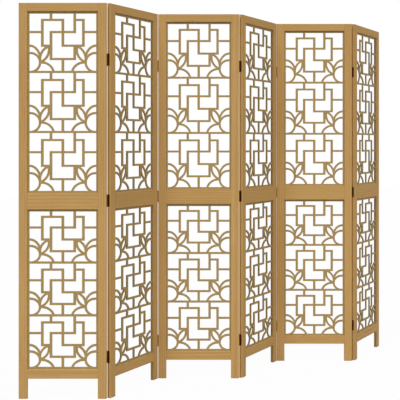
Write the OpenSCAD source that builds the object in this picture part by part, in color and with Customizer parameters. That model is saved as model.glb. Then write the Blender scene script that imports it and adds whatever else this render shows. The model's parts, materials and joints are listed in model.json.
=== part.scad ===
// Folding screen of six lattice panels, hinged edge to edge in a zigzag.
// Each panel is a stile-and-rail frame that holds two pierced boards in grooves.
// Frame of the whole: Z up from the floor, X along the run of the screen, Y away from its front.

/* [Screen] */
// Width of one panel across its two stiles
panel_w = 400; // [340:5:460]
// Height of a panel from the floor to its top
panel_h = 1800; // [1650:10:2000]
// Turn between two neighbouring panels as the screen stands, 0 is a flat wall
fold_angle = 60; // [30:0.5:90]
// Gap between the edges of two panels when they stand in line
panel_gap = 1.4; // [1:0.1:3]

/* [Frame] */
// Thickness of the stiles and rails
frame_t = 16.5; // [13:0.5:20]
// Width of a stile
stile_w = 40; // [34:1:55]
// Height of the top rail
top_rail_h = 38; // [30:1:60]
// Height of the middle rail
middle_rail_h = 75; // [50:1:110]
// Underside of the middle rail above the floor
middle_rail_z = 861; // [760:1:960]
// Height of the bottom rail
bottom_rail_h = 43; // [32:1:70]
// Clear height below the bottom rail, which is the length of the feet
foot_h = 91.5; // [60:0.5:140]
// Radius of the softened edges
edge_r = 1; // [0.4:0.1:2]

/* [Joinery] */
// Thickness of the tenons on the rails
tenon_t = 5; // [4:0.5:6]
// Wood left in a stile behind a mortise, which takes the hinge screws
mortise_back = 19; // [17:0.5:22]
// Wood left between a tenon and the groove beside it
tenon_land = 2; // [1:0.5:5]
// Clearance round a tenon in its mortise
tenon_fit = 0.1; // [0.05:0.05:0.2]
// Depth of the grooves that hold the lattice boards
groove_depth = 6; // [4:0.5:8]
// Clearance of a lattice board in its groove, on each face and at the bottom
board_fit = 0.2; // [0.1:0.05:0.3]

/* [Lattice] */
// Thickness of the pierced boards
lattice_t = 5; // [2.5:0.5:6]
// Width of the level bars of the pattern
level_bar_w = 10; // [7:0.5:12]
// Width of the upright bars
upright_bar_w = 12; // [7:0.1:14]
// Width of the curved bars
curved_bar_w = 10.5; // [7:0.1:12]
// Width of the board's solid margin that shows beside a stile
margin_side = 8; // [4:0.5:14]
// Width of the margin that shows below the rail over an opening
margin_top = 10; // [4:0.5:14]
// Width of the margin that shows above the rail under an opening
margin_bottom = 9; // [4:0.5:14]
// Distance of the pattern's top line below the rail over it
line_in_top = 2; // [0:0.5:5]
// Distance of the pattern's bottom line above the rail under it
line_in_bottom = 3.5; // [0:0.5:5]
// Repeats of the pattern in one board
repeats = 3; // [2:1:4]
// Angle between two points of a curved bar
curve_step = 12; // [6:1:15]

/* [Hinges] */
// Height of a hinge
leaf_h = 55; // [40:1:70]
// Width of a leaf on the edge of the panel
leaf_w = 12.5; // [9:0.5:13]
// Thickness of a leaf
leaf_t = 0.9; // [0.7:0.1:1.5]
// Middle of the lowest hinge above the floor
low_hinge_z = 187; // [150:1:300]
// Middle of the middle hinge above the floor
middle_hinge_z = 900; // [700:1:1000]
// Middle of the highest hinge below the panel's top
high_hinge_drop = 257; // [150:1:400]
// Knuckles along one hinge
knuckles = 5; // [3:2:7]
// Gap between two knuckles
knuckle_play = 0.2; // [0.1:0.05:0.4]
// Distance of a hinge's axis out of the faces of its two panels
axis_out = 0.8; // [0.4:0.05:3]
// Clearance round a barrel in the notch it is let into
barrel_clear = 0.2; // [0.1:0.05:0.6]
// Diameter of a hinge pin
pin_d = 1.6; // [1.2:0.1:1.8]
// Running clearance round a pin
pin_fit = 0.05; // [0.03:0.01:0.08]
// Diameter of the heads that keep a pin in
pin_head_d = 2.8; // [2.4:0.1:3.2]
// Height of a pin's head
pin_head_h = 1.2; // [0.8:0.1:2]

/* [Screws] */
// Screws in one leaf
leaf_screws = 3; // [2:1:4]
// Distance between two screws of a leaf
screw_pitch = 20; // [12:0.5:22]
// Diameter of a screw's shank
screw_d = 2.2; // [1.8:0.1:2.6]
// Diameter of a screw's countersunk head
screw_head_d = 4.6; // [4:0.1:5.5]
// Length of a screw
screw_len = 12; // [10:0.5:14]
// Length of a screw's point
screw_point = 3; // [2:0.5:4]
// Clearance round a screw and its head
screw_fit = 0.05; // [0.02:0.01:0.1]

/* [Hidden] */
PANELS = 6;
// The last panel is hung the other way round, so its pattern is mirrored
MIRRORED_PANEL = 6;
WOOD = "#B5905A";
LATTICE = "#8A7448";
BRONZE = "#48300F";
DARK_BRONZE = "#33220C";
// Distance a cut runs past a face, so that no skin is left
OVER = 1;
// Segments of a quarter turn on a softened edge
EDGE_STEPS = 3;
// Radius of the blunt tip of a screw
SCREW_TIP = 0.2;

all_panels = [1 : PANELS];
all_joints = [1 : PANELS - 1];

// Hinge sizes that follow from the gap: a leaf lies flush in the edge and is tangent to its barrel
barrel_r = panel_gap / 2 + leaf_t;
pin_bore_r = pin_d / 2 + pin_fit;
knuckle_h = leaf_h / knuckles;
hinge_heights = [low_hinge_z, middle_hinge_z, panel_h - high_hinge_drop];

// Levels of the rails and of the two openings
top_rail_z = panel_h - top_rail_h;
upper_low = middle_rail_z + middle_rail_h;
lower_low = foot_h + bottom_rail_h;
inner_w = panel_w - 2 * stile_w;
tenon_l = stile_w - mortise_back;
tenon_inset = groove_depth + tenon_land;
groove_w = lattice_t + 2 * board_fit;
board_reach = groove_depth - board_fit;

// Where each panel stands. Odd panels come towards the front, even panels go to the back.
function is_odd(i) = i % 2 == 1;
function turned(p, a) = [p.x * cos(a) - p.y * sin(a), p.x * sin(a) + p.y * cos(a)];
function heading(i) = is_odd(i) ? -fold_angle / 2 : fold_angle / 2;

// The barrel of joint j, which joins panels j and j + 1, lies inside the fold: behind the odd joints
// and in front of the even ones. Both functions are in a panel's own frame.
function axis_y(j) = is_odd(j) ? frame_t + axis_out : -axis_out;
function right_axis(j) = [panel_w + panel_gap / 2, axis_y(j)];
function left_axis(j) = [-panel_gap / 2, axis_y(j)];
function chained(i) = i == 1 ? [0, 0]
    : chained(i - 1) + turned(right_axis(i - 1), heading(i - 1)) - turned(left_axis(i - 1), heading(i));

corners = [for (i = all_panels, x = [0, panel_w], y = [0, frame_t]) chained(i) + turned([x, y], heading(i))];
xs = [for (c = corners) c.x];
ys = [for (c = corners) c.y];
middle = [(min(xs) + max(xs)) / 2, (min(ys) + max(ys)) / 2];

module at_panel(i) {
    at = chained(i) - middle;
    translate([at.x, at.y, 0]) rotate(heading(i)) children();
}

// Frame members

// A rectangle with softened corners
function soft_rectangle(w, h, r) = [
    for (q = [0 : 3])
        let (c = [q == 0 || q == 3 ? w - r : r, q < 2 ? h - r : r])
            for (s = [0 : EDGE_STEPS])
                let (a = 90 * (q + s / EDGE_STEPS)) c + r * [cos(a), sin(a)]
];

// A bar along X with softened long edges
module bar_along_x(length, height) {
    rotate([90, 0, 90]) linear_extrude(length) polygon(soft_rectangle(frame_t, height, edge_r));
}

// A groove for a board, open towards the opening, along X or along Z
module groove(size, at) {
    translate([at.x, frame_t / 2 - groove_w / 2, at.y]) cube([size.x, groove_w, size.y]);
}

// The mortise that takes the tenon of a rail of height h whose underside is at z
module mortise(z, h) {
    tall = h - 2 * tenon_inset + 2 * tenon_fit;
    wide = tenon_t + 2 * tenon_fit;
    translate([stile_w - tenon_l - tenon_fit, (frame_t - wide) / 2, z + tenon_inset - tenon_fit])
        cube([tenon_l + tenon_fit + OVER, wide, tall]);
}

// The groove of a stile beside an opening, which also takes the corners of the board
module stile_groove(z_low, z_high) {
    tall = z_high - z_low + 2 * groove_depth;
    groove([groove_depth + OVER, tall], [stile_w - groove_depth, z_low - groove_depth]);
}

// A stile as it stands on the left, its outer edge at x = 0
module stile_blank() {
    difference() {
        intersection() {
            linear_extrude(panel_h) polygon(soft_rectangle(stile_w, frame_t, edge_r));
            bar_along_x(stile_w, panel_h);
        }
        mortise(top_rail_z, top_rail_h);
        mortise(middle_rail_z, middle_rail_h);
        mortise(foot_h, bottom_rail_h);
        stile_groove(upper_low, top_rail_z);
        stile_groove(lower_low, middle_rail_z);
    }
}

module left_stile(i) {
    color(WOOD) at_panel(i) difference() {
        stile_blank();
        if (i > 1) at_left_hinges(i) leaf_seat();
    }
}

module right_stile(i) {
    color(WOOD) at_panel(i) difference() {
        translate([panel_w, 0, 0]) mirror([1, 0, 0]) stile_blank();
        if (i < PANELS) at_right_hinges(i) leaf_seat();
    }
}

// A rail with its two tenons, its underside at z; grooved above or below where it holds a board
module rail(z, h, above, below) {
    difference() {
        union() {
            translate([stile_w, 0, z]) bar_along_x(inner_w, h);
            translate([stile_w - tenon_l, (frame_t - tenon_t) / 2, z + tenon_inset])
                cube([inner_w + 2 * tenon_l, tenon_t, h - 2 * tenon_inset]);
        }
        if (above) groove([inner_w + 2 * OVER, groove_depth + OVER], [stile_w - OVER, z + h - groove_depth]);
        if (below) groove([inner_w + 2 * OVER, groove_depth + OVER], [stile_w - OVER, z - OVER]);
    }
}

module top_rail(i) {
    color(WOOD) at_panel(i) rail(top_rail_z, top_rail_h, false, true);
}

module middle_rail(i) {
    color(WOOD) at_panel(i) rail(middle_rail_z, middle_rail_h, true, true);
}

module bottom_rail(i) {
    color(WOOD) at_panel(i) rail(foot_h, bottom_rail_h, true, false);
}

// Lattice pattern

// One repeat is drawn this wide and this tall, and then stretched to its place in the board.
// Across, it is measured from the middle of the panel; up, from the line below the repeat.
drawn_w = 304;
drawn_h = 273.5;

// Columns of the straight bars, and their levels below the repeat's top line as shares of its height
col_outer = 93.5;
col_inner = 54;
level = [0, 0.134, 0.336, 0.563, 0.785, 1];

// Straight bars as [from, to], each end as [column, level]; the margin is a column too
col_edge = drawn_w / 2;
verticals = [
    [-col_inner, 0, 1], [-col_outer, 1, 3], [0, 1, 3], [col_inner, 0, 2],
    [-col_inner, 2, 4], [col_outer, 1, 3], [col_inner, 3, 4], [0, 4, 5]
];
horizontals = [
    [1, -col_outer, 0], [3, -col_outer, -col_inner], [2, -col_inner, col_inner],
    [1, col_inner, col_outer], [3, 0, col_outer], [4, -col_inner, col_inner],
    [2, -col_edge, -col_outer], [2, col_outer, col_edge]
];

// Curves of the flower on the right-hand side, each as [centre, radii, first angle, last angle]
ring_r = 43;
ring_at = [147, ring_r];
petal_curve = [[151, 45.5], [51, 74], 90, 160];
leaf_outer_curve = [[41, 58.5], [63, 63], -12, 72];
leaf_inner_curve = [[122.4, 100.5], [59, 59], 160, 250];
low_petal_curve = [[96, -13], [56, 56], 80, 168];

function curve_points(c) =
    let (n = ceil(abs(c[3] - c[2]) / curve_step))
        [for (s = [0 : n]) let (a = c[2] + (c[3] - c[2]) * s / n) c[0] + [c[1].x * cos(a), c[1].y * sin(a)]];

// The ring and the petal over it run this far level into the margin
run_in = 10;
flower = [
    concat([[col_edge + run_in, 2 * ring_r]], curve_points([ring_at, [ring_r, ring_r], 90, 270]),
        [[col_edge + run_in, 0]]),
    concat([[col_edge + run_in, petal_curve[0].y + petal_curve[1].y]], curve_points(petal_curve)),
    curve_points(leaf_outer_curve),
    curve_points(leaf_inner_curve),
    curve_points(low_petal_curve)
];

// A bar of even width along a list of points
module curved_bar(points) {
    last = len(points) - 1;
    sides = [for (k = [0 : last])
        let (d = points[min(k + 1, last)] - points[max(k - 1, 0)]) [-d.y, d.x] / norm(d) * curved_bar_w / 2];
    polygon(concat(
        [for (k = [0 : last]) points[k] - sides[k]],
        [for (k = [last : -1 : 0]) points[k] + sides[k]]
    ));
}

// A straight bar w wide between two points, with ends that run over the width of the bars it meets
module straight_bar(a, b, w) {
    over = a.x == b.x ? [w, level_bar_w] : [upright_bar_w, w];
    low = [min(a.x, b.x), min(a.y, b.y)] - over / 2;
    translate(low) square([abs(a.x - b.x), abs(a.y - b.y)] + over);
}

// One repeat of the pattern, w wide and h tall, about the panel's middle, standing on y = 0
module pattern_repeat(w, h) {
    k = [w / drawn_w, h / drawn_h];
    function placed(column, row) = [column * k.x, (1 - level[row]) * h];
    for (v = verticals) straight_bar(placed(v[0], v[1]), placed(v[0], v[2]), upright_bar_w);
    for (b = horizontals) straight_bar(placed(b[1], b[0]), placed(b[2], b[0]), level_bar_w);
    for (side = [-1, 1], curve = flower) curved_bar([for (p = curve) [side * p.x * k.x, p.y * k.y]]);
}

// The board for an opening between two levels, with its pattern, in the plane of the panel
module board_outline(z_low, z_high, mirrored) {
    open_w = inner_w - 2 * margin_side;
    low = z_low + line_in_bottom;
    step = (z_high - line_in_top - low) / repeats;
    edge = [inner_w + 2 * board_reach, z_high - z_low + 2 * board_reach];
    translate([panel_w / 2, 0]) {
        difference() {
            translate([-edge.x / 2, z_low - board_reach]) square(edge);
            translate([-open_w / 2, z_low + margin_bottom])
                square([open_w, z_high - z_low - margin_bottom - margin_top]);
        }
        intersection() {
            translate([-edge.x / 2, z_low - board_reach]) square(edge);
            mirror([mirrored ? 1 : 0, 0]) union() {
                for (n = [0 : repeats - 1]) translate([0, low + n * step]) pattern_repeat(open_w, step);
                for (n = [1 : repeats - 1])
                    straight_bar([-open_w / 2, low + n * step], [open_w / 2, low + n * step], level_bar_w);
            }
        }
    }
}

module lattice(i, z_low, z_high) {
    color(LATTICE) at_panel(i) translate([0, frame_t / 2 + lattice_t / 2, 0])
        rotate([90, 0, 0]) linear_extrude(lattice_t) board_outline(z_low, z_high, i == MIRRORED_PANEL);
}

module upper_lattice(i) {
    lattice(i, upper_low, top_rail_z);
}

module lower_lattice(i) {
    lattice(i, lower_low, middle_rail_z);
}

// Hinges

// A hinge is drawn about its own axis, Z up from its lower end: the leaf of the panel on the left, with
// the barrel behind. The leaf on the right is its mirror image across X, and a barrel in front across Y.
module at_hinges(at, flip_x, flip_y) {
    for (z = hinge_heights)
        translate([at.x, at.y, z - leaf_h / 2])
            mirror([flip_x ? 1 : 0, 0, 0]) mirror([0, flip_y ? 1 : 0, 0]) children();
}

module at_right_hinges(i) {
    at_hinges(right_axis(i), false, !is_odd(i)) children();
}

module at_left_hinges(i) {
    at_hinges(left_axis(i - 1), true, !is_odd(i - 1)) children();
}

leaf_inside = -barrel_r;
leaf_outside = -panel_gap / 2;
screw_y = -axis_out - leaf_w / 2;
screw_heights = [for (n = [0 : leaf_screws - 1]) leaf_h / 2 + (n - (leaf_screws - 1) / 2) * screw_pitch];

// A screw along -X with its head flush with the leaf; grown by a clearance it is also its own hole
module screw(grow) {
    head_r = screw_head_d / 2 + grow;
    shank_r = screw_d / 2 + grow;
    shank = screw_len - leaf_t - screw_point;
    translate([leaf_outside, screw_y, 0]) rotate([0, -90, 0]) {
        cylinder(r1 = head_r, r2 = shank_r, h = leaf_t, $fn = 48);
        translate([0, 0, leaf_t]) cylinder(r = shank_r, h = shank, $fn = 48);
        translate([0, 0, leaf_t + shank])
            cylinder(r1 = shank_r, r2 = SCREW_TIP + grow, h = screw_point, $fn = 48);
    }
}

// The room that the barrel and the heads of its pin turn in
notch_r = max(barrel_r, pin_head_d / 2) + barrel_clear;
notch_over = pin_fit + pin_head_h + barrel_clear;

// What a hinge leaf, its barrel and its screws take out of the edge of a stile
module leaf_seat() {
    translate([leaf_inside, -axis_out - leaf_w, 0]) cube([leaf_t + OVER, leaf_w + OVER, leaf_h]);
    translate([0, 0, -notch_over]) cylinder(r = notch_r, h = leaf_h + 2 * notch_over, $fn = 64);
    for (z = screw_heights) translate([0, 0, z]) screw(screw_fit);
}

// One leaf with the knuckles that are its own: the odd ones on the left-hand leaf, or the even ones.
// Its plate is cut back beside the knuckles of the other leaf.
module leaf(odd) {
    difference() {
        union() {
            difference() {
                translate([leaf_inside, -axis_out - leaf_w, 0]) cube([leaf_t, leaf_w, leaf_h]);
                for (k = [odd ? 1 : 0 : 2 : knuckles - 1]) {
                    low = k == 0 ? -OVER : k * knuckle_h;
                    high = k == knuckles - 1 ? leaf_h + OVER : (k + 1) * knuckle_h;
                    translate([0, 0, low]) cylinder(r = notch_r, h = high - low, $fn = 64);
                }
            }
            for (k = [odd ? 0 : 1 : 2 : knuckles - 1]) {
                low = k == 0 ? 0 : k * knuckle_h + knuckle_play / 2;
                high = k == knuckles - 1 ? leaf_h : (k + 1) * knuckle_h - knuckle_play / 2;
                translate([0, 0, low]) cylinder(r = barrel_r, h = high - low, $fn = 64);
                translate([leaf_inside, -axis_out, low]) cube([leaf_t, axis_out, high - low]);
            }
        }
        translate([0, 0, -OVER]) cylinder(r = pin_bore_r, h = leaf_h + 2 * OVER, $fn = 64);
        for (z = screw_heights) translate([0, 0, z]) screw(screw_fit);
    }
}

module hinge_leaves(i) {
    color(BRONZE) at_panel(i) {
        if (i < PANELS) at_right_hinges(i) leaf(true);
        if (i > 1) at_left_hinges(i) leaf(false);
    }
}

module hinge_screws(i) {
    color(DARK_BRONZE) at_panel(i) {
        if (i < PANELS) at_right_hinges(i) for (z = screw_heights) translate([0, 0, z]) screw(0);
        if (i > 1) at_left_hinges(i) for (z = screw_heights) translate([0, 0, z]) screw(0);
    }
}

// A pin with a head at each end, just clear of the end knuckles
module pin() {
    head_r = pin_head_d / 2;
    translate([0, 0, -pin_fit]) cylinder(r = pin_d / 2, h = leaf_h + 2 * pin_fit, $fn = 64);
    translate([0, 0, leaf_h + pin_fit]) cylinder(r = head_r, h = pin_head_h, $fn = 64);
    translate([0, 0, -pin_fit - pin_head_h]) cylinder(r = head_r, h = pin_head_h, $fn = 64);
}

module hinge_pins(j) {
    color(DARK_BRONZE) at_panel(j) at_right_hinges(j) pin();
}

for (i = all_panels) left_stile(i);
for (i = all_panels) right_stile(i);
for (i = all_panels) top_rail(i);
for (i = all_panels) middle_rail(i);
for (i = all_panels) bottom_rail(i);
for (i = all_panels) upper_lattice(i);
for (i = all_panels) lower_lattice(i);
for (i = all_panels) hinge_leaves(i);
for (i = all_panels) hinge_screws(i);
for (j = all_joints) hinge_pins(j);
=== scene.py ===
"""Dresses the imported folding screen: stained wood, fretwork, bronze hinges, screws, pins and a studio."""

import json
import math

import bmesh
import bpy
from bpy.props import FloatProperty, FloatVectorProperty, IntProperty, PointerProperty
from bpy.types import Operator, Panel, PropertyGroup
from mathutils import Euler, Matrix, Vector

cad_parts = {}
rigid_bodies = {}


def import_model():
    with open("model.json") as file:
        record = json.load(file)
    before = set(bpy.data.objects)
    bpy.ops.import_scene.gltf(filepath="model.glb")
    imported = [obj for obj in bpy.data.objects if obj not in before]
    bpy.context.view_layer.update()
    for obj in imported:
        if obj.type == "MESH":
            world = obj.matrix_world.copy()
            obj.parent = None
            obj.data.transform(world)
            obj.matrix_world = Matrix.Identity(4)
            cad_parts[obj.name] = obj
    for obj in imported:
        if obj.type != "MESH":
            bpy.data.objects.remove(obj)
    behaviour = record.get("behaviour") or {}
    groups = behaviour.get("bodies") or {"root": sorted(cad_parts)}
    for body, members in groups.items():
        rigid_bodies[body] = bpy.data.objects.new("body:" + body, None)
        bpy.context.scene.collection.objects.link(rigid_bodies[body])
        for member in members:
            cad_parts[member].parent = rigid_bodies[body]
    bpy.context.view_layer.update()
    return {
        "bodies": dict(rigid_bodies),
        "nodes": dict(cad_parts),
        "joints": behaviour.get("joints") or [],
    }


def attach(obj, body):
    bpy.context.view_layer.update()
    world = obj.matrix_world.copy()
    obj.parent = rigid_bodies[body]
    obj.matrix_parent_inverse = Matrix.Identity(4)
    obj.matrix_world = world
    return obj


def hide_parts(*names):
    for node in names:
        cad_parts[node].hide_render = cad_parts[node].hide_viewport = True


bl_info = {
    "name": "Folding Screen",
    "version": (1, 0, 0),
    "blender": (4, 5, 0),
    "location": "View3D > Sidebar > Folding Screen",
    "description": "Finishes the wood, fretwork and hinges of the packed folding screen, and lights it",
    "category": "Add Mesh",
}

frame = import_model()
NODES = frame["nodes"]
PANELS = range(1, len(frame["bodies"]) + 1)
JOINTS = range(1, len(frame["joints"]) + 1)
MM = 0.001
# Half of the turn between two neighbouring panels, read from a hinge's travel back to a flat wall
HALF_FOLD = math.radians(-frame["joints"][0]["range_deg"][0]) / 2
# Corners of a solid that lie closer than this are one corner
MERGE = 0.001 * MM
# Rings of corners that lie closer along a turned solid are one ring
RING_GAP = 0.05 * MM
# Sizes that are read from a mesh are rounded to this many decimals of a metre, a thousandth of a millimetre
DECIMALS = 6
UP = Vector((0, 0, 1))
# The last panel is hung the other way round, so its pattern is mirrored
MIRRORED_PANEL = len(PANELS)

# The pattern of the pierced boards. One repeat is drawn this tall in mm, and then stretched to its place in
# the board. Across, it is measured from the middle of the board; up, from the line below the repeat.
DRAWN_HEIGHT = 273.5
COLUMN_OUTER = 93.5
COLUMN_INNER = 54
COLUMN_EDGE = 152
# Levels below the repeat's top line, as shares of its height
LEVELS = (0, 0.134, 0.336, 0.563, 0.785, 1)
# Upright bars as (column, from level, to level), and level bars as (level, from column, to column)
UPRIGHT_BARS = (
    (-COLUMN_INNER, 0, 1), (-COLUMN_OUTER, 1, 3), (0, 1, 3), (COLUMN_INNER, 0, 2),
    (-COLUMN_INNER, 2, 4), (COLUMN_OUTER, 1, 3), (COLUMN_INNER, 3, 4), (0, 4, 5))
LEVEL_BARS = (
    (1, -COLUMN_OUTER, 0), (3, -COLUMN_OUTER, -COLUMN_INNER), (2, -COLUMN_INNER, COLUMN_INNER),
    (1, COLUMN_INNER, COLUMN_OUTER), (3, 0, COLUMN_OUTER), (4, -COLUMN_INNER, COLUMN_INNER),
    (2, -COLUMN_EDGE, -COLUMN_OUTER), (2, COLUMN_OUTER, COLUMN_EDGE))
# Curves of the flower on the right, as (centre, radii, first angle, last angle, whether it runs into the
# margin at its start and at its end)
CURVED_BARS = (
    ((147, 43), (43, 43), 90, 270, True, True),
    ((151, 45.5), (51, 74), 90, 160, True, False),
    ((41, 58.5), (63, 63), -12, 72, False, False),
    ((122.4, 100.5), (59, 59), 160, 250, False, False),
    ((96, -13), (56, 56), 80, 168, False, False))
# How far the ring and the petal over it run level into the margin
RUN_IN = 10
# The most degrees between two points of a curve
CURVE_STEP = 4
# The kinds of bar, as the centre lines are marked with them
LEVEL, UPRIGHT, CURVED = range(3)
# A face of a board is a sawn edge where less than this share of its normal points out of the board
EDGE_LEAN = 0.5

# How many times longer than wide the rings, the fibres, the veneer's streaks and the drift of tone are
RING_STRETCH = 14.0
FIBRE_STRETCH = 40.0
VENEER_STRETCH = 30.0
TONE_STRETCH = 3.0
# The tone drifts over this width
TONE_WIDTH = 90 * MM
# How much the rings, the fibres and the drift of tone each darken the wood
RING_SHARE = 0.3
FIBRE_SHARE = 0.35
TONE_SHARE = 0.5
# The wood is palest up to the first of these sums of the three, and darkest from the second
PALEST = 0.15
DARKEST = 1.0
# A wave texture at scale 1 has this many rings in a metre
WAVE_RINGS = 20 / math.tau
# How far from the upright boards' figure the level boards' figure is taken, in metres
LEVEL_OFFSET = 0.37
# Most of a noise lies between these, so they are spread over 0 to 1 where its streaks have to show
NOISE_LOW = 0.3
NOISE_HIGH = 0.7
# The common index of refraction of a varnish or a stain
STAIN_IOR = 1.5
# Two plies blend into each other where the sine that draws them is within this of zero
PLY_BLEND = 0.25
# How much the plies and the speckle each darken a sawn edge
PLY_SHARE = 0.6
SPECKLE_SHARE = 0.4
# Ends of fibres are finer than this, and are drawn so wide that they show
SPECKLE_WIDTH = 0.5 * MM
# Width of the clouds in a patina, and the part of their noise that shows
CLOUD_WIDTH = 2.5 * MM
CLOUD_LOW = 0.35
CLOUD_HIGH = 0.65
# How deep the surfaces are: planed wood, sanded veneer, sawn edges and aged metal
WOOD_DEPTH = 0.08 * MM
VENEER_DEPTH = 0.05 * MM
EDGE_DEPTH = 0.04 * MM
METAL_DEPTH = 0.02 * MM

# Sides of the turned pieces and rings of their domes
SCREW_SIDES = 24
PIN_SIDES = 32
DOME_RINGS = 16
# Length of a slot of a screw's cross recess, in radii of its head
RECESS_REACH = 1.2

# The kinds of node that the trees use most
MATH = "ShaderNodeMath"
COMBINE = "ShaderNodeCombineXYZ"
BOOLEAN = "GeometryNodeMeshBoolean"


def linear(hex_colour):
    """The linear red, green and blue of an sRGB hex colour."""
    parts = [int(hex_colour[i:i + 2], 16) / 255 for i in (1, 3, 5)]
    return tuple(c / 12.92 if c <= 0.04045 else ((c + 0.055) / 1.055) ** 2.4 for c in parts)


def heading(panel):
    """How far a panel is turned about Z: odd panels come towards the front, even ones go to the back."""
    return -HALF_FOLD if panel % 2 else HALF_FOLD


# Sizes and colours that a user would change


class WoodSettings(PropertyGroup):
    """Stained paulownia boards"""

    pale: FloatVectorProperty(
        name="Pale wood", description="Colour of the early wood", subtype="COLOR", default=linear("#BF9A61"))
    dark: FloatVectorProperty(
        name="Dark wood", description="Colour of the late wood", subtype="COLOR", default=linear("#A47D49"))
    ring_gap: FloatProperty(
        name="Ring spacing", description="Distance between two growth rings", unit="LENGTH", default=9 * MM)
    fibre_width: FloatProperty(
        name="Fibre width", description="Width of the finest streaks", unit="LENGTH", default=1.6 * MM)
    roughness: FloatProperty(
        name="Roughness", description="Roughness of the stained surface", subtype="FACTOR", default=0.6)
    gloss: FloatProperty(
        name="Gloss", description="Strength of the mirrored light on the stained surface", subtype="FACTOR",
        default=0.06)


class FretworkSettings(PropertyGroup):
    """Pierced boards"""

    face: FloatVectorProperty(
        name="Face", description="Colour of the board's faces", subtype="COLOR", default=linear("#A58A57"))
    streak: FloatVectorProperty(
        name="Streak", description="Colour of the darker streaks", subtype="COLOR", default=linear("#937848"))
    cut: FloatVectorProperty(
        name="Cut edge", description="Colour of the sawn edges", subtype="COLOR", default=linear("#7A6640"))
    cut_dark: FloatVectorProperty(
        name="Dark ply", description="Colour of the plies whose end grain shows on the sawn edges",
        subtype="COLOR", default=linear("#6A5934"))
    fibre_width: FloatProperty(
        name="Fibre width", description="Width of the streaks of the veneer", unit="LENGTH", default=2 * MM)
    plies: IntProperty(
        name="Plies", description="Layers of veneer in the plywood", default=5)
    repeats: IntProperty(
        name="Repeats", description="Repeats of the pattern in one board", default=3)
    level_bar: FloatProperty(
        name="Level bar", description="Width of the level bars", unit="LENGTH", default=10 * MM)
    upright_bar: FloatProperty(
        name="Upright bar", description="Width of the upright bars", unit="LENGTH", default=12 * MM)
    curved_bar: FloatProperty(
        name="Curved bar", description="Width of the curved bars", unit="LENGTH", default=10.5 * MM)
    side_margin: FloatProperty(
        name="Side margin", description="Width of the board's side margins, with what the groove hides",
        unit="LENGTH", default=13.8 * MM)
    top_margin: FloatProperty(
        name="Top margin", description="Width of the board's top margin, with what the groove hides",
        unit="LENGTH", default=15.8 * MM)
    bottom_margin: FloatProperty(
        name="Bottom margin", description="Width of the board's bottom margin, with what the groove hides",
        unit="LENGTH", default=14.8 * MM)
    top_line: FloatProperty(
        name="Top line", description="Distance of the pattern's top line below the board's upper edge",
        unit="LENGTH", default=7.8 * MM)
    bottom_line: FloatProperty(
        name="Bottom line", description="Distance of the pattern's bottom line above the board's lower edge",
        unit="LENGTH", default=9.3 * MM)


class HardwareSettings(PropertyGroup):
    """Hinges, screws and pins"""

    bronze: FloatVectorProperty(
        name="Bronze", description="Colour of the hinge leaves", subtype="COLOR", default=linear("#8A5A26"))
    patina: FloatVectorProperty(
        name="Patina", description="Colour of the darker patches", subtype="COLOR", default=linear("#523012"))
    steel: FloatVectorProperty(
        name="Screw", description="Colour of the blackened screws", subtype="COLOR",
        default=linear("#3B2A14"))
    recess_width: FloatProperty(
        name="Recess width", description="Width of a slot of the cross recess", unit="LENGTH",
        default=0.7 * MM)
    recess_depth: FloatProperty(
        name="Recess depth", description="Depth of the cross recess", unit="LENGTH", default=0.6 * MM)
    rim_share: FloatProperty(
        name="Rim", description="Share of a pin head's height that is its straight rim", subtype="FACTOR",
        default=0.4)
    seed: IntProperty(
        name="Seed", description="Chooses how far each screw was driven round", default=4)


class StageSettings(PropertyGroup):
    """Camera, lamps and floor"""

    camera_at: FloatVectorProperty(
        name="Camera", description="Place of the camera", subtype="TRANSLATION", unit="LENGTH",
        default=(-2.38773, -3.83995, 1.15891))
    lens: FloatProperty(
        name="Lens", description="Focal length in millimetres", unit="CAMERA", default=80.5286)
    drop: FloatProperty(
        name="Vertical shift", description="Shift of the frame below the horizon", default=-0.14028)
    ambient: FloatProperty(
        name="Ambient", description="Strength of the light from all round", default=0.2)
    key: FloatProperty(
        name="Key", description="Strength of the lamp on the left", default=2.58)
    key_elevation: FloatProperty(
        name="Key height", description="How high the left lamp stands", subtype="ANGLE",
        default=math.radians(55))
    key_aside: FloatProperty(
        name="Key aside", description="How far the left lamp stands to the right of the camera",
        subtype="ANGLE", default=math.radians(-31))
    key_size: FloatProperty(
        name="Key size", description="How wide the left lamp looks from the screen", subtype="ANGLE",
        default=math.radians(15))
    fill: FloatProperty(
        name="Fill", description="Strength of the lamp on the right", default=1.84)
    fill_elevation: FloatProperty(
        name="Fill height", description="How high the lamps on the right and behind stand", subtype="ANGLE",
        default=math.radians(50))
    fill_aside: FloatProperty(
        name="Fill aside", description="How far the right lamp stands to the right of the camera",
        subtype="ANGLE", default=math.radians(50))
    fill_size: FloatProperty(
        name="Fill size", description="How wide the lamps on the right and behind look from the screen",
        subtype="ANGLE", default=math.radians(60))
    back: FloatProperty(
        name="Back", description="Strength of the lamp behind the screen", default=0.8)
    floor: FloatVectorProperty(
        name="Floor", description="Colour of the floor", subtype="COLOR", default=linear("#AAAAA8"))
    floor_width: FloatProperty(
        name="Floor width", description="Width of the floor", unit="LENGTH", default=30.0)
    floor_white: FloatProperty(
        name="Floor white", description="How far the floor is white whatever shadow falls on it",
        subtype="FACTOR", default=0.97)


SETTINGS = {
    "screen_wood": WoodSettings,
    "screen_fretwork": FretworkSettings,
    "screen_hardware": HardwareSettings,
    "screen_stage": StageSettings,
}


# Node trees


def feed(tree, node, inputs):
    """Gives each input of a node its value, or links it to a socket or to each socket of a list."""
    for name, value in inputs.items():
        socket = node.inputs[name]
        for part in value if isinstance(value, list) else [value]:
            if isinstance(part, bpy.types.NodeSocket):
                tree.links.new(part, socket)
            else:
                socket.default_value = (*part, 1) if socket.type == "RGBA" else part


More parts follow.
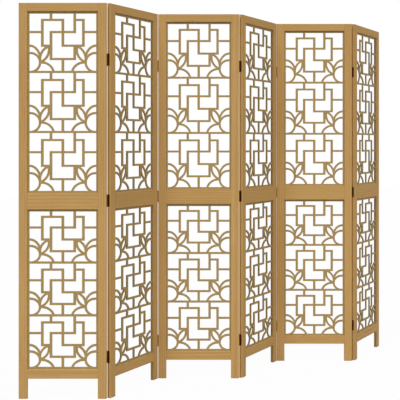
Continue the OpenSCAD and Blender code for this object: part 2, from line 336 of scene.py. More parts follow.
def add(tree, kind, inputs=None, **settings):
    """Adds a node with its own settings and its inputs, and returns its outputs."""
    node = tree.nodes.new(kind)
    for name, value in settings.items():
        setattr(node, name, value)
    feed(tree, node, inputs or {})
    return node.outputs


def new_material(name):
    """A material with its Principled shader linked up, as (material, tree, shader)."""
    material = bpy.data.materials.new(name)
    material.use_nodes = True
    tree = material.node_tree
    return material, tree, tree.nodes["Principled BSDF"]


def along_grain(tree, stretch, turn=0.0, level=False):
    """Object coordinates with their Z along the grain of an upright or level board, drawn out by stretch."""
    quarter = math.pi / 2 if level else 0.0
    offset = LEVEL_OFFSET if level else 0.0
    return add(tree, "ShaderNodeMapping", {
        "Vector": add(tree, "ShaderNodeTexCoord")["Object"], "Location": (offset, offset, offset),
        "Rotation": (0.0, quarter, turn), "Scale": (1.0, 1.0, stretch)}, vector_type="TEXTURE")["Vector"]


def streaks(tree, width, stretch=1.0, turn=0.0, level=False, detail=3.0):
    """Noise along the grain whose coarsest streaks are that wide, from 0 to 1."""
    return add(tree, "ShaderNodeTexNoise", {
        "Vector": along_grain(tree, stretch, turn, level), "Scale": 1 / (2 * width), "Detail": detail,
        "Roughness": 0.55}, noise_dimensions="3D")["Fac"]


def weighed(tree, parts):
    """The sum of several values, each times its weight."""
    total = None
    for value, weight in parts:
        scaled = add(tree, MATH, {0: value, 1: weight}, operation="MULTIPLY")[0]
        if total is None:
            total = scaled
        else:
            total = add(tree, MATH, {0: total, 1: scaled}, operation="ADD")[0]
    return total


# Materials


def stained_paulownia(name, wood, turn=0.0, level=False):
    """Straight-grained light wood, planed and stained honey brown: soft rings, fine fibres, dull sheen."""
    material, tree, shader = new_material(name)
    rings = add(tree, "ShaderNodeTexWave", {
        "Vector": along_grain(tree, RING_STRETCH, turn, level), "Scale": 1 / (WAVE_RINGS * wood.ring_gap),
        "Distortion": 7.0, "Detail": 2.0, "Detail Scale": 0.12, "Detail Roughness": 0.5},
        wave_type="RINGS", rings_direction="Z", wave_profile="SIN")["Fac"]
    # Real vessels are about 0.3 mm wide, too fine to show, so the fibres are drawn as wide as they need to be
    fibres = streaks(tree, wood.fibre_width, FIBRE_STRETCH, turn, level)
    clear_fibres = add(tree, "ShaderNodeMapRange", {
        "Value": fibres, "From Min": NOISE_LOW, "From Max": NOISE_HIGH}, clamp=True)["Result"]
    # The tone drifts along a board and from one board to the next
    tone = streaks(tree, TONE_WIDTH, TONE_STRETCH, turn, level, detail=1.0)
    darkening = weighed(tree, ((rings, RING_SHARE), (clear_fibres, FIBRE_SHARE), (tone, TONE_SHARE)))
    amount = add(tree, "ShaderNodeMapRange", {
        "Value": darkening, "From Min": PALEST, "From Max": DARKEST}, clamp=True)["Result"]
    colour = add(tree, "ShaderNodeMix", {0: amount, 6: wood.pale, 7: wood.dark}, data_type="RGBA")[2]
    bump = add(tree, "ShaderNodeBump", {"Height": fibres, "Strength": 1.0, "Distance": WOOD_DEPTH})["Normal"]
    feed(tree, shader, {"Base Color": colour, "Roughness": wood.roughness, "IOR": STAIN_IOR,
                        "Specular IOR Level": wood.gloss, "Normal": bump})
    return material


def plywood_veneer(fretwork):
    """The faces of thin plywood, stained: an upright veneer, duller and greyer than the solid frame."""
    material, tree, shader = new_material("stained_plywood_veneer")
    # As in the frame, real fibres are too fine to show, and are drawn wider
    fibres = streaks(tree, fretwork.fibre_width, VENEER_STRETCH)
    amount = add(tree, "ShaderNodeMapRange", {
        "Value": fibres, "From Min": NOISE_LOW, "From Max": NOISE_HIGH}, clamp=True)["Result"]
    colour = add(tree, "ShaderNodeMix", {
        0: amount, 6: fretwork.face, 7: fretwork.streak}, data_type="RGBA")[2]
    bump = add(tree, "ShaderNodeBump", {
        "Height": fibres, "Strength": 1.0, "Distance": VENEER_DEPTH})["Normal"]
    feed(tree, shader, {"Base Color": colour, "Roughness": 0.65, "IOR": STAIN_IOR,
                        "Specular IOR Level": 0.25, "Normal": bump})
    return material


def plywood_edge(fretwork):
    """Sawn edges of the plywood, with its plies in bands. End grain soaks up stain, so they are darker."""
    material, tree, shader = new_material("stained_plywood_sawn_edge")
    depth = add(tree, "ShaderNodeAttribute", attribute_name="depth")["Fac"]
    # Each ply takes half a turn of the sine, so the bands follow the layers of the board
    turns = add(tree, MATH, {0: depth, 1: fretwork.plies * math.pi}, operation="MULTIPLY")[0]
    wave = add(tree, MATH, {0: turns}, operation="SINE")[0]
    layers = add(tree, "ShaderNodeMapRange", {
        "Value": wave, "From Min": -PLY_BLEND, "From Max": PLY_BLEND}, clamp=True)["Result"]
    speckle = streaks(tree, SPECKLE_WIDTH)
    clear_speckle = add(tree, "ShaderNodeMapRange", {
        "Value": speckle, "From Min": NOISE_LOW, "From Max": NOISE_HIGH}, clamp=True)["Result"]
    amount = weighed(tree, ((layers, PLY_SHARE), (clear_speckle, SPECKLE_SHARE)))
    colour = add(tree, "ShaderNodeMix", {
        0: amount, 6: fretwork.cut, 7: fretwork.cut_dark}, data_type="RGBA")[2]
    bump = add(tree, "ShaderNodeBump", {"Height": speckle, "Strength": 1.0, "Distance": EDGE_DEPTH})["Normal"]
    feed(tree, shader, {"Base Color": colour, "Roughness": 0.8, "Specular IOR Level": 0.2, "Normal": bump})
    return material


def aged_metal(name, bright, dark, roughness):
    """Plated or blackened steel, chemically aged: brown metal with darker clouds and a soft gloss."""
    material, tree, shader = new_material(name)
    clouds = streaks(tree, CLOUD_WIDTH, detail=4.0)
    amount = add(tree, "ShaderNodeMapRange", {
        "Value": clouds, "From Min": CLOUD_LOW, "From Max": CLOUD_HIGH}, clamp=True)["Result"]
    colour = add(tree, "ShaderNodeMix", {0: amount, 6: bright, 7: dark}, data_type="RGBA")[2]
    bump = add(tree, "ShaderNodeBump", {"Height": clouds, "Strength": 1.0, "Distance": METAL_DEPTH})["Normal"]
    feed(tree, shader, {"Base Color": colour, "Metallic": 1.0, "Roughness": roughness, "Normal": bump})
    return material


# Meshes


def wear(node, material):
    """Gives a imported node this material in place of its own."""
    mesh = NODES[node].data
    mesh.materials.clear()
    mesh.materials.append(material)


def solids_of(node):
    """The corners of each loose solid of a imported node, from a merged copy of its mesh, in a fixed order."""
    work = bmesh.new()
    work.from_mesh(NODES[node].data)
    bmesh.ops.remove_doubles(work, verts=work.verts, dist=MERGE)
    waiting = set(work.verts)
    solids = []
    while waiting:
        reached = [waiting.pop()]
        for corner in reached:
            near = {edge.other_vert(corner) for edge in corner.link_edges} & waiting
            waiting -= near
            reached.extend(near)
        solids.append(sorted((corner.co.copy() for corner in reached), key=tuple))
    work.free()
    return sorted(solids, key=lambda corners: tuple(corners[0]))


def rings_of(corners, axis):
    """The rings of corners along a turned solid, in order, as (centre, widest radius, narrowest radius)."""
    groups = []
    reached = -math.inf
    for corner in sorted(corners, key=axis.dot):
        if axis.dot(corner) - reached > RING_GAP:
            groups.append([])
        reached = axis.dot(corner)
        groups[-1].append(corner)
    rings = []
    for group in groups:
        centre = sum(group, Vector()) / len(group)
        radii = [(corner - centre).length for corner in group]
        rings.append((centre, max(radii), min(radii)))
    return rings


def point_cloud(name, points, directions):
    """A mesh of loose points, each with the direction that its piece faces."""
    mesh = bpy.data.meshes.new(name)
    mesh.from_pydata([tuple(p) for p in points], [], [])
    facing = mesh.attributes.new("facing", "FLOAT_VECTOR", "POINT")
    facing.data.foreach_set("vector", [c for d in directions for c in d])
    cloud = bpy.data.objects.new(name, mesh)
    bpy.context.scene.collection.objects.link(cloud)
    return cloud


def grown(name, cloud, tree, values):
    """The plain mesh object that a Geometry Nodes tree makes from points or lines, which it uses up."""
    modifier = cloud.modifiers.new(name, "NODES")
    modifier.node_group = tree
    sockets = {item.name: item.identifier for item in tree.interface.items_tree if item.item_type == "SOCKET"}
    for title, value in values.items():
        modifier[sockets[title]] = value
    cloud.update_tag()
    bpy.context.view_layer.update()
    made = cloud.evaluated_get(bpy.context.evaluated_depsgraph_get())
    mesh = bpy.data.meshes.new_from_object(made)
    mesh.name = name
    cloud.modifiers.clear()
    bpy.data.objects.remove(cloud)
    piece = bpy.data.objects.new(name, mesh)
    bpy.context.scene.collection.objects.link(piece)
    return piece


def centre_lines(name, height, fretwork):
    """The centre lines of the bars in a repeat of the pattern that tall, each marked with its kind of bar."""
    stretch = height / MM / DRAWN_HEIGHT
    over_level = fretwork.upright_bar / 2 / MM
    over_upright = fretwork.level_bar / 2 / MM
    rows = [(1 - level) * height / MM for level in LEVELS]
    lines = []
    for column, start, end in UPRIGHT_BARS:
        lines.append((UPRIGHT, [(column, rows[end] - over_upright), (column, rows[start] + over_upright)]))
    for level, start, end in LEVEL_BARS:
        lines.append((LEVEL, [(start - over_level, rows[level]), (end + over_level, rows[level])]))
    for centre, radii, start, end, from_margin, to_margin in CURVED_BARS:
        steps = math.ceil((end - start) / CURVE_STEP)
        angles = [math.radians(start + (end - start) * step / steps) for step in range(steps + 1)]
        points = [(centre[0] + radii[0] * math.cos(a), centre[1] + radii[1] * math.sin(a)) for a in angles]
        if from_margin:
            points.insert(0, (COLUMN_EDGE + RUN_IN, points[0][1]))
        if to_margin:
            points.append((COLUMN_EDGE + RUN_IN, points[-1][1]))
        for side in (1, -1):
            lines.append((CURVED, [(side * x, y * stretch) for x, y in points]))
    corners = []
    edges = []
    kinds = []
    for kind, points in lines:
        first = len(corners)
        corners.extend((x * MM, y * MM, 0) for x, y in points)
        edges.extend((k, k + 1) for k in range(first, len(corners) - 1))
        kinds.extend([kind] * len(points))
    mesh = bpy.data.meshes.new(name)
    mesh.from_pydata(corners, edges, [])
    mesh.attributes.new("kind", "INT", "POINT").data.foreach_set("value", kinds)
    drawing = bpy.data.objects.new(name, mesh)
    bpy.context.scene.collection.objects.link(drawing)
    return drawing


def board_box(node, turn):
    """The middle and the width, height and thickness of a packed board that is turned about Z by turn."""
    axes = Vector((math.cos(turn), math.sin(turn), 0)), UP, Vector((-math.sin(turn), math.cos(turn), 0))
    middle = Vector()
    size = []
    for axis in axes:
        reach = [axis.dot(corner.co) for corner in NODES[node].data.vertices]
        middle += axis * (min(reach) + max(reach)) / 2
        size.append(max(reach) - min(reach))
    return middle, size


def sawn_board(tree, size, fretwork, finish):
    """The mesh of a pierced board of this width, height and thickness, about its middle, lying flat."""
    width, height, thickness = size
    step = (height - fretwork.top_line - fretwork.bottom_line) / fretwork.repeats
    board = grown("fretwork_board", centre_lines("fretwork_lines", step, fretwork), tree, {
        "Board Width": width, "Board Height": height, "Thickness": thickness,
        "Side Margin": fretwork.side_margin, "Top Margin": fretwork.top_margin,
        "Bottom Margin": fretwork.bottom_margin, "Bottom Line": fretwork.bottom_line,
        "Repeats": fretwork.repeats, "Repeat Height": step, "Level Bar": fretwork.level_bar,
        "Upright Bar": fretwork.upright_bar, "Curved Bar": fretwork.curved_bar, **finish})
    mesh = board.data
    bpy.data.objects.remove(board)
    return mesh


def dressed(piece, body, slot, *nodes):
    """Hands a finished piece over to the frame: what it rides on, and the nodes it stands for, which it hides.
    The slot argument is not used.
    """
    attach(piece, body)
    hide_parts(*nodes)


# Geometry Nodes


def new_tree(name, **sockets):
    """An empty Geometry Nodes tree with inputs of each kind by name, as (tree, what its inputs give)."""
    tree = bpy.data.node_groups.new(name, "GeometryNodeTree")
    tree.is_modifier = True
    tree.interface.new_socket("Geometry", in_out="OUTPUT", socket_type="NodeSocketGeometry")
    tree.interface.new_socket("Geometry", in_out="INPUT", socket_type="NodeSocketGeometry")
    for kind, titles in sockets.items():
        for title in titles:
            tree.interface.new_socket(title, in_out="INPUT", socket_type="NodeSocket" + kind)
    return tree, add(tree, "NodeGroupInput")


def lowered(tree, geometry, depth):
    """Geometry moved down along Z by depth."""
    down = add(tree, MATH, {0: depth, 1: -1.0}, operation="MULTIPLY")[0]
    shift = add(tree, COMBINE, {"Z": down})[0]
    return add(tree, "GeometryNodeTransform", {"Geometry": geometry, "Translation": shift})[0]


def block(tree, across, up, deep):
    """A block about the origin."""
    size = add(tree, COMBINE, {"X": across, "Y": up, "Z": deep})[0]
    return add(tree, "GeometryNodeMeshCube", {"Size": size})["Mesh"]


def in_column(tree, instance, count, start, step):
    """Copies of a piece, one above the other."""
    first = add(tree, COMBINE, {"Y": start})[0]
    offset = add(tree, COMBINE, {"Y": step})[0]
    points = add(tree, "GeometryNodeMeshLine", {
        "Count": count, "Start Location": first, "Offset": offset}, mode="OFFSET")["Mesh"]
    return add(tree, "GeometryNodeInstanceOnPoints", {"Points": points, "Instance": instance})[0]


def finished_tree(tree, points, instance, material, seed=None):
    """Sets one instance on each point, facing as the point says and spun by the seed, and ends the tree."""
    facing = add(tree, "GeometryNodeInputNamedAttribute", {"Name": "facing"}, data_type="FLOAT_VECTOR")
    turn = add(tree, "FunctionNodeAlignRotationToVector", {"Vector": facing["Attribute"]}, axis="Z")[0]
    if seed is not None:
        spin = add(tree, "FunctionNodeRandomValue", {"Seed": seed, 3: math.tau}, data_type="FLOAT")[1]
        about = add(tree, "FunctionNodeAxisAngleToRotation", {"Angle": spin, "Axis": (0, 0, 1)})[0]
        turn = add(tree, "FunctionNodeRotateRotation", {
            "Rotation": turn, "Rotate By": about}, rotation_space="LOCAL")[0]
    placed = add(tree, "GeometryNodeInstanceOnPoints", {
        "Points": points, "Instance": instance, "Rotation": turn})[0]
    real = add(tree, "GeometryNodeRealizeInstances", {"Geometry": placed})[0]
    painted = add(tree, "GeometryNodeSetMaterial", {"Geometry": real, "Material": material})[0]
    add(tree, "NodeGroupOutput", {"Geometry": painted})


def screw_tree():
    """A countersunk screw with a cross recess, its head at the point and its shank behind it."""
    tree, given = new_tree(
        "Countersunk screws",
        Float=("Head Radius", "Shank Radius", "Tip Radius", "Head Depth", "Point Length", "Length",
               "Recess Width", "Recess Depth"),
        Int=("Seed",), Material=("Material",))
    below_head = add(tree, MATH, {0: given["Length"], 1: given["Head Depth"]}, operation="SUBTRACT")[0]
    shank_length = add(tree, MATH, {0: below_head, 1: given["Point Length"]}, operation="SUBTRACT")[0]
    above_point = add(tree, MATH, {0: given["Head Depth"], 1: shank_length}, operation="ADD")[0]
    solids = []
    for top, bottom, length, depth in (
            (given["Head Radius"], given["Shank Radius"], given["Head Depth"], given["Head Depth"]),
            (given["Shank Radius"], given["Shank Radius"], shank_length, above_point),
            (given["Shank Radius"], given["Tip Radius"], given["Point Length"], given["Length"])):
        cone = add(tree, "GeometryNodeMeshCone", {
            "Vertices": SCREW_SIDES, "Radius Top": top, "Radius Bottom": bottom, "Depth": length})["Mesh"]
        solids.append(lowered(tree, cone, depth))
    body = add(tree, BOOLEAN, {"Mesh 2": solids}, operation="UNION", solver="EXACT")["Mesh"]
    # Each slot's cutter has its middle in the face of the head, so its lower half cuts
    reach = add(tree, MATH, {0: given["Head Radius"], 1: RECESS_REACH}, operation="MULTIPLY")[0]
    tall = add(tree, MATH, {0: given["Recess Depth"], 1: 2.0}, operation="MULTIPLY")[0]
    cutters = [block(tree, reach, given["Recess Width"], tall),
               block(tree, given["Recess Width"], reach, tall)]
    driven = add(tree, BOOLEAN, {
        "Mesh 1": body, "Mesh 2": cutters}, operation="DIFFERENCE", solver="EXACT")["Mesh"]
    finished_tree(tree, given["Geometry"], driven, given["Material"], given["Seed"])
    return tree


def pin_tree():
    """A hinge pin with a rounded head at each end, its middle at the point."""
    tree, given = new_tree(
        "Hinge pins", Float=("Pin Radius", "Pin Length", "Head Radius", "Rim Height", "Head Height"),
        Material=("Material",))
    rod, rim = [
        add(tree, "GeometryNodeMeshCylinder", {
            "Vertices": PIN_SIDES, "Radius": given[radius], "Depth": given[length]})["Mesh"]
        for radius, length in (("Pin Radius", "Pin Length"), ("Head Radius", "Rim Height"))]
    ball = add(tree, "GeometryNodeMeshUVSphere", {
        "Segments": PIN_SIDES, "Rings": DOME_RINGS, "Radius": 1.0})["Mesh"]
    dome_height = add(tree, MATH, {0: given["Head Height"], 1: given["Rim Height"]}, operation="SUBTRACT")[0]
    dome_size = add(tree, COMBINE, {
        "X": given["Head Radius"], "Y": given["Head Radius"], "Z": dome_height})[0]
    dome = add(tree, "GeometryNodeTransform", {"Geometry": ball, "Scale": dome_size})[0]
    half_pin = add(tree, MATH, {0: given["Pin Length"], 1: 0.5}, operation="MULTIPLY")[0]
    half_rim = add(tree, MATH, {0: given["Rim Height"], 1: 0.5}, operation="MULTIPLY")[0]
    rim_middle = add(tree, MATH, {0: half_pin, 1: half_rim}, operation="ADD")[0]
    rim_top = add(tree, MATH, {0: half_pin, 1: given["Rim Height"]}, operation="ADD")[0]
    solids = [rod]
    for solid, away in ((rim, rim_middle), (dome, rim_top)):
        back = add(tree, MATH, {0: away, 1: -1.0}, operation="MULTIPLY")[0]
        solids += [lowered(tree, solid, away), lowered(tree, solid, back)]
    joined = add(tree, BOOLEAN, {"Mesh 2": solids}, operation="UNION", solver="EXACT")["Mesh"]
    finished_tree(tree, given["Geometry"], joined, given["Material"])
    return tree


def fretwork_tree():
    """A pierced board about its middle, Y up: bars along the centre lines, repeated upwards, in a margin."""
    tree, given = new_tree(
        "Fretwork board",
        Float=("Board Width", "Board Height", "Thickness", "Side Margin", "Top Margin", "Bottom Margin",
               "Bottom Line", "Repeat Height", "Level Bar", "Upright Bar", "Curved Bar"),
        Int=("Repeats",), Material=("Face Material", "Edge Material"))
    kind = add(tree, "GeometryNodeInputNamedAttribute", {"Name": "kind"}, data_type="INT")["Attribute"]
    sawn = []
    for bar, width in ((LEVEL, "Level Bar"), (UPRIGHT, "Upright Bar"), (CURVED, "Curved Bar")):
        this = add(tree, "FunctionNodeCompare", {2: kind, 3: bar}, data_type="INT", operation="EQUAL")[0]
        lines = add(tree, "GeometryNodeSeparateGeometry", {
            "Geometry": given["Geometry"], "Selection": this}, domain="POINT")["Selection"]
        path = add(tree, "GeometryNodeMeshToCurve", {"Mesh": lines})["Curve"]
        profile = add(tree, "GeometryNodeCurvePrimitiveQuadrilateral", {
            "Width": given[width], "Height": given["Thickness"]})["Curve"]
        sawn.append(add(tree, "GeometryNodeCurveToMesh", {
            "Curve": path, "Profile Curve": profile, "Fill Caps": True})["Mesh"])
    bars = add(tree, "GeometryNodeJoinGeometry", {"Geometry": sawn})["Geometry"]
    island = add(tree, "GeometryNodeInputMeshIsland")["Island Index"]
    single_bars = add(tree, "GeometryNodeSplitToInstances", {
        "Geometry": bars, "Group ID": island}, domain="POINT")["Instances"]
    repeat = add(tree, BOOLEAN, {"Mesh 2": single_bars}, operation="UNION", solver="MANIFOLD")["Mesh"]

    half_height = add(tree, MATH, {0: given["Board Height"], 1: 0.5}, operation="MULTIPLY")[0]
    low = add(tree, MATH, {0: given["Bottom Line"], 1: half_height}, operation="SUBTRACT")[0]
    pattern = in_column(tree, repeat, given["Repeats"], low, given["Repeat Height"])
    margins = add(tree, MATH, {0: given["Side Margin"], 1: 2.0}, operation="MULTIPLY")[0]
    open_width = add(tree, MATH, {0: given["Board Width"], 1: margins}, operation="SUBTRACT")[0]
    line_length = add(tree, MATH, {0: open_width, 1: given["Upright Bar"]}, operation="ADD")[0]
    line = block(tree, line_length, given["Level Bar"], given["Thickness"])
    # A line parts each repeat from the next one
    line_count = add(tree, MATH, {0: given["Repeats"], 1: 1.0}, operation="SUBTRACT")[0]
    first_line = add(tree, MATH, {0: low, 1: given["Repeat Height"]}, operation="ADD")[0]
    lines = in_column(tree, line, line_count, first_line, given["Repeat Height"])

    blank = block(tree, given["Board Width"], given["Board Height"], given["Thickness"])
    ends = add(tree, MATH, {0: given["Top Margin"], 1: given["Bottom Margin"]}, operation="ADD")[0]
    open_height = add(tree, MATH, {0: given["Board Height"], 1: ends}, operation="SUBTRACT")[0]
    # The cutter of the opening stands out of both faces
    cut_depth = add(tree, MATH, {0: given["Thickness"], 1: 2.0}, operation="MULTIPLY")[0]
    above_middle = add(tree, MATH, {0: given["Bottom Margin"], 1: given["Top Margin"]}, operation="SUBTRACT")
    half_of_it = add(tree, MATH, {0: above_middle[0], 1: 0.5}, operation="MULTIPLY")[0]
    opening = add(tree, "GeometryNodeTransform", {
        "Geometry": block(tree, open_width, open_height, cut_depth),
        "Translation": add(tree, COMBINE, {"Y": half_of_it})[0]})[0]
    margin = add(tree, BOOLEAN, {
        "Mesh 1": blank, "Mesh 2": opening}, operation="DIFFERENCE", solver="MANIFOLD")["Mesh"]
    board = add(tree, BOOLEAN, {
        "Mesh 2": [margin, pattern, lines]}, operation="UNION", solver="MANIFOLD")["Mesh"]

    # The plies are counted through the thickness, from one face to the other
    height = add(tree, "ShaderNodeSeparateXYZ", {"Vector": add(tree, "GeometryNodeInputPosition")[0]})["Z"]
    share = add(tree, MATH, {0: height, 1: given["Thickness"]}, operation="DIVIDE")[0]
    depth = add(tree, MATH, {0: share, 1: 0.5}, operation="ADD")[0]
    marked = add(tree, "GeometryNodeStoreNamedAttribute", {
        "Geometry": board, "Name": "depth", "Value": depth}, data_type="FLOAT", domain="POINT")["Geometry"]
    # The curves are drawn finely enough to be shaded flat, which keeps the board's faces even
    flat = add(tree, "GeometryNodeSetShadeSmooth", {
        "Geometry": marked, "Shade Smooth": False}, domain="FACE")[0]
    real = add(tree, "GeometryNodeRealizeInstances", {"Geometry": flat})[0]
    out = add(tree, "ShaderNodeSeparateXYZ", {"Vector": add(tree, "GeometryNodeInputNormal")["Normal"]})["Z"]
    facing = add(tree, MATH, {0: out}, operation="ABSOLUTE")[0]
    sawn_face = add(tree, "FunctionNodeCompare", {
        0: facing, 1: EDGE_LEAN}, data_type="FLOAT", operation="LESS_THAN")[0]
    faced = add(tree, "GeometryNodeSetMaterial", {"Geometry": real, "Material": given["Face Material"]})[0]
    edged = add(tree, "GeometryNodeSetMaterial", {
        "Geometry": faced, "Selection": sawn_face, "Material": given["Edge Material"]})[0]
    add(tree, "NodeGroupOutput", {"Geometry": edged})
    return tree


# Operators


class SCREEN_OT_boards(Operator):
    """Finish the stiles and the rails in stained wood, with the grain along each board"""

    bl_idname = "screen_parts.boards"
    bl_label = "Stiles and rails"

    def execute(self, context):
        wood = context.scene.screen_wood
        upright = stained_paulownia("stained_paulownia_upright", wood)
        level = {turn: stained_paulownia(f"stained_paulownia_level_{name}", wood, turn, True)
                 for name, turn in (("odd", -HALF_FOLD), ("even", HALF_FOLD))}
        for panel in PANELS:
            for side in ("left", "right"):
                wear(f"{side}_stile_{panel}", upright)
            for place in ("top", "middle", "bottom"):
                wear(f"{place}_rail_{panel}", level[heading(panel)])
        return {"FINISHED"}


class SCREEN_OT_fretwork(Operator):
    """Saw the two pierced boards of each panel out of stained plywood"""

    bl_idname = "screen_parts.fretwork"
    bl_label = "Fretwork boards"

    def execute(self, context):
        fretwork = context.scene.screen_fretwork
        tree = fretwork_tree()
        finish = {"Face Material": plywood_veneer(fretwork), "Edge Material": plywood_edge(fretwork)}
        sawn = {}
        for panel in PANELS:
            turn = heading(panel)
            pair = bmesh.new()
            nodes = [f"{place}_lattice_{panel}" for place in ("upper", "lower")]
            for node in nodes:
                middle, size = board_box(node, turn)
                # Boards whose heights agree to 0.01 mm are sawn once and copied
                height = round(size[1], 5)
                if height not in sawn:
                    sawn[height] = sawn_board(tree, size, fretwork, finish)
                board = sawn[height].copy()
                if panel == MIRRORED_PANEL:
                    board.transform(Matrix.Scale(-1, 4, (1, 0, 0)))
                    board.flip_normals()
                upright = Matrix.Rotation(math.pi / 2, 4, "X")
                board.transform(Matrix.Translation(middle) @ Matrix.Rotation(turn, 4, "Z") @ upright)
                pair.from_mesh(board)
                bpy.data.meshes.remove(board)
            mesh = bpy.data.meshes.new(f"fretwork_{panel}")
            pair.to_mesh(mesh)
            pair.free()
            for material in next(iter(sawn.values())).materials:
                mesh.materials.append(material)
            piece = bpy.data.objects.new(f"fretwork_{panel}", mesh)
            context.scene.collection.objects.link(piece)
            dressed(piece, f"panel_{panel}", "lattice_wood", *nodes)
        return {"FINISHED"}


class SCREEN_OT_leaves(Operator):
    """Finish the hinge leaves and their knuckles in aged bronze"""

    bl_idname = "screen_parts.leaves"
    bl_label = "Hinge leaves"

    def execute(self, context):
        hardware = context.scene.screen_hardware
        bronze = aged_metal("aged_bronze", hardware.bronze, hardware.patina, roughness=0.38)
        for panel in PANELS:
            wear(f"hinge_leaves_{panel}", bronze)
        return {"FINISHED"}


class SCREEN_OT_screws(Operator):
    """Set a countersunk screw with a cross recess in each hole of the leaves"""

    bl_idname = "screen_parts.screws"
    bl_label = "Hinge screws"

    def execute(self, context):
        hardware = context.scene.screen_hardware
        steel = aged_metal("blackened_screw_steel", hardware.steel, hardware.patina, roughness=0.45)
        tree = screw_tree()
        for panel in PANELS:
            along = Vector((math.cos(heading(panel)), math.sin(heading(panel)), 0))
            points = []
            directions = []
            for corners in solids_of(f"hinge_screws_{panel}"):
                rings = rings_of(corners, along)
                if rings[0][1] < rings[-1][1]:
                    rings.reverse()
                head, tip = rings[0], rings[-1]
                points.append(head[0])
                directions.append((head[0] - tip[0]).normalized())
            # The screws are all alike, so the last one gives the sizes. The shank is the longest stretch
            # between two rings.
            steps = [(after[0] - ring[0]).length for ring, after in zip(rings, rings[1:])]
            neck = steps.index(max(steps))
            sizes = {
                "Head Radius": head[1], "Shank Radius": rings[neck][1], "Tip Radius": tip[1],
                "Head Depth": (rings[neck][0] - head[0]).length, "Length": (tip[0] - head[0]).length,
                "Point Length": (tip[0] - rings[neck + 1][0]).length}
            cloud = point_cloud(f"screw_points_{panel}", points, directions)
            piece = grown(f"screws_{panel}", cloud, tree, {
                **{title: round(size, DECIMALS) for title, size in sizes.items()},
                "Recess Width": hardware.recess_width, "Recess Depth": hardware.recess_depth,
                "Seed": hardware.seed + panel, "Material": steel})
            dressed(piece, f"panel_{panel}", "screw_bronze", f"hinge_screws_{panel}")
        return {"FINISHED"}


class SCREEN_OT_pins(Operator):
    """Set a pin with rounded heads through the knuckles of each hinge"""

    bl_idname = "screen_parts.pins"
    bl_label = "Hinge pins"

    def execute(self, context):
        hardware = context.scene.screen_hardware
        bronze = aged_metal("aged_bronze_pin", hardware.bronze, hardware.patina, roughness=0.32)
        tree = pin_tree()
        for joint in JOINTS:
            node = f"hinge_pins_{joint}_{joint + 1}"
            points = []
            for corners in solids_of(node):
                foot, low_shoulder, high_shoulder, top = rings_of(corners, UP)
                points.append((foot[0] + top[0]) / 2)
            # The pins are all alike, so the last one gives the sizes
            head_height = (low_shoulder[0] - foot[0]).length
            sizes = {
                "Pin Radius": low_shoulder[2], "Pin Length": (high_shoulder[0] - low_shoulder[0]).length,
                "Head Radius": foot[1], "Rim Height": head_height * hardware.rim_share,
                "Head Height": head_height}
            cloud = point_cloud(node + "_points", points, [UP] * len(points))
            piece = grown(f"pins_{joint}_{joint + 1}", cloud, tree, {
                **{title: round(size, DECIMALS) for title, size in sizes.items()}, "Material": bronze})
            dressed(piece, f"panel_{joint}", "screw_bronze", node)
        return {"FINISHED"}


class SCREEN_OT_stage(Operator):
    """Set up the camera, the soft studio light, the pale floor and the white background"""

    bl_idname = "screen_parts.stage"
    bl_label = "Stage"

    def execute(self, context):
        stage = context.scene.screen_stage
        scene = context.scene
        scene.view_settings.view_transform = "Standard"
        place_camera(scene, stage)
        light_world(scene, stage)
        soft_lamp(scene, "key", stage.key, stage.key_elevation, stage.key_aside, stage.key_size)
        soft_lamp(scene, "fill", stage.fill, stage.fill_elevation, stage.fill_aside, stage.fill_size)
        soft_lamp(scene, "back", stage.back, stage.fill_elevation, math.pi, stage.fill_size)
        pale_floor(scene, stage)
        return {"FINISHED"}


# Stage


def place_camera(scene, stage):
    """A level camera square to the odd panels, as the photograph was taken."""
    data = bpy.data.cameras.new("camera")
    data.lens = stage.lens
    data.shift_y = stage.drop
    camera = bpy.data.objects.new("camera", data)
    camera.location = stage.camera_at
    camera.rotation_euler = Euler((math.pi / 2, 0, -HALF_FOLD))
    scene.collection.objects.link(camera)
    scene.camera = camera


def seen_directly(tree):
    """1 where a ray comes from the camera, a gloss or a glass, and 0 where it only brings light."""
    path = add(tree, "ShaderNodeLightPath")
    seen = path["Is Camera Ray"]
    for kind in ("Is Glossy Ray", "Is Transmission Ray"):
        seen = add(tree, MATH, {0: seen, 1: path[kind]}, operation="MAXIMUM")[0]
    return seen


def light_world(scene, stage):
    """Even light from all round, and a white background."""
    world = bpy.data.worlds.new("studio")
    world.use_nodes = True
    scene.world = world
    tree = world.node_tree
    around = tree.nodes["Background"]
    feed(tree, around, {"Color": (1, 1, 1), "Strength": stage.ambient})
    white = add(tree, "ShaderNodeBackground", {"Color": (1, 1, 1), "Strength": 1.0})[0]
    mix = add(tree, "ShaderNodeMixShader", {0: seen_directly(tree), 1: around.outputs[0], 2: white})[0]
    feed(tree, tree.nodes["World Output"], {"Surface": mix})


def soft_lamp(scene, name, strength, elevation, aside, size):
    """A soft lamp high over the screen, turned round it from the camera to the right by the angle aside."""
    data = bpy.data.lights.new(name, "SUN")
    data.energy = strength
    data.angle = size
    lamp = bpy.data.objects.new(name, data)
    lamp.rotation_euler = Euler((math.pi / 2 - elevation, 0, -HALF_FOLD + aside))
    scene.collection.objects.link(lamp)


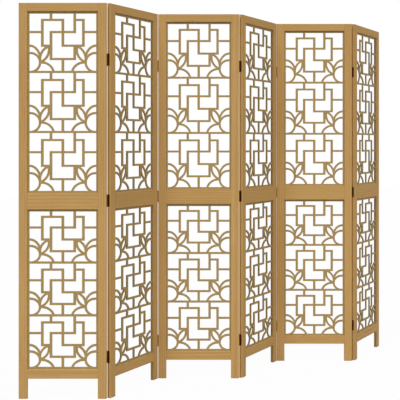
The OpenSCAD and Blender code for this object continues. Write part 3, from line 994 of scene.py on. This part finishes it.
def pale_floor(scene, stage):
    """A wide pale floor, nearly white to the camera, that keeps a soft shadow."""
    half = stage.floor_width / 2
    corners = [(-half, -half, 0), (half, -half, 0), (half, half, 0), (-half, half, 0)]
    mesh = bpy.data.meshes.new("floor")
    mesh.from_pydata(corners, [], [(0, 1, 2, 3)])
    material, tree, shader = new_material("pale_studio_floor")
    feed(tree, shader, {"Base Color": stage.floor, "Roughness": 0.9})
    white = add(tree, "ShaderNodeEmission", {"Color": (1, 1, 1), "Strength": 1.0})[0]
    share = add(tree, MATH, {0: seen_directly(tree), 1: stage.floor_white}, operation="MULTIPLY")[0]
    mix = add(tree, "ShaderNodeMixShader", {0: share, 1: shader.outputs[0], 2: white})[0]
    feed(tree, tree.nodes["Material Output"], {"Surface": mix})
    mesh.materials.append(material)
    floor = bpy.data.objects.new("floor", mesh)
    scene.collection.objects.link(floor)
    return floor


class SCREEN_PT_parts(Panel):
    """The steps that dress the folding screen, and their settings"""

    bl_idname = "SCREEN_PT_parts"
    bl_label = "Folding Screen"
    bl_space_type = "VIEW_3D"
    bl_region_type = "UI"
    bl_category = "Folding Screen"

    def draw(self, context):
        for step in STEPS:
            self.layout.operator(step.bl_idname)
        for name, group in SETTINGS.items():
            section = self.layout.box()
            for setting in group.__annotations__:
                section.prop(getattr(context.scene, name), setting)


STEPS = (
    SCREEN_OT_boards, SCREEN_OT_fretwork, SCREEN_OT_leaves, SCREEN_OT_screws, SCREEN_OT_pins, SCREEN_OT_stage)


def register():
    for group in SETTINGS.values():
        bpy.utils.register_class(group)
    for name, group in SETTINGS.items():
        setattr(bpy.types.Scene, name, PointerProperty(type=group))
    for step in STEPS:
        bpy.utils.register_class(step)
    bpy.utils.register_class(SCREEN_PT_parts)


def unregister():
    bpy.utils.unregister_class(SCREEN_PT_parts)
    for step in reversed(STEPS):
        bpy.utils.unregister_class(step)
    for name, group in SETTINGS.items():
        delattr(bpy.types.Scene, name)
        bpy.utils.unregister_class(group)


def main():
    register()
    bpy.ops.screen_parts.boards()
    bpy.ops.screen_parts.fretwork()
    bpy.ops.screen_parts.leaves()
    bpy.ops.screen_parts.screws()
    bpy.ops.screen_parts.pins()
    bpy.ops.screen_parts.stage()


if __name__ == "__main__":
    main()
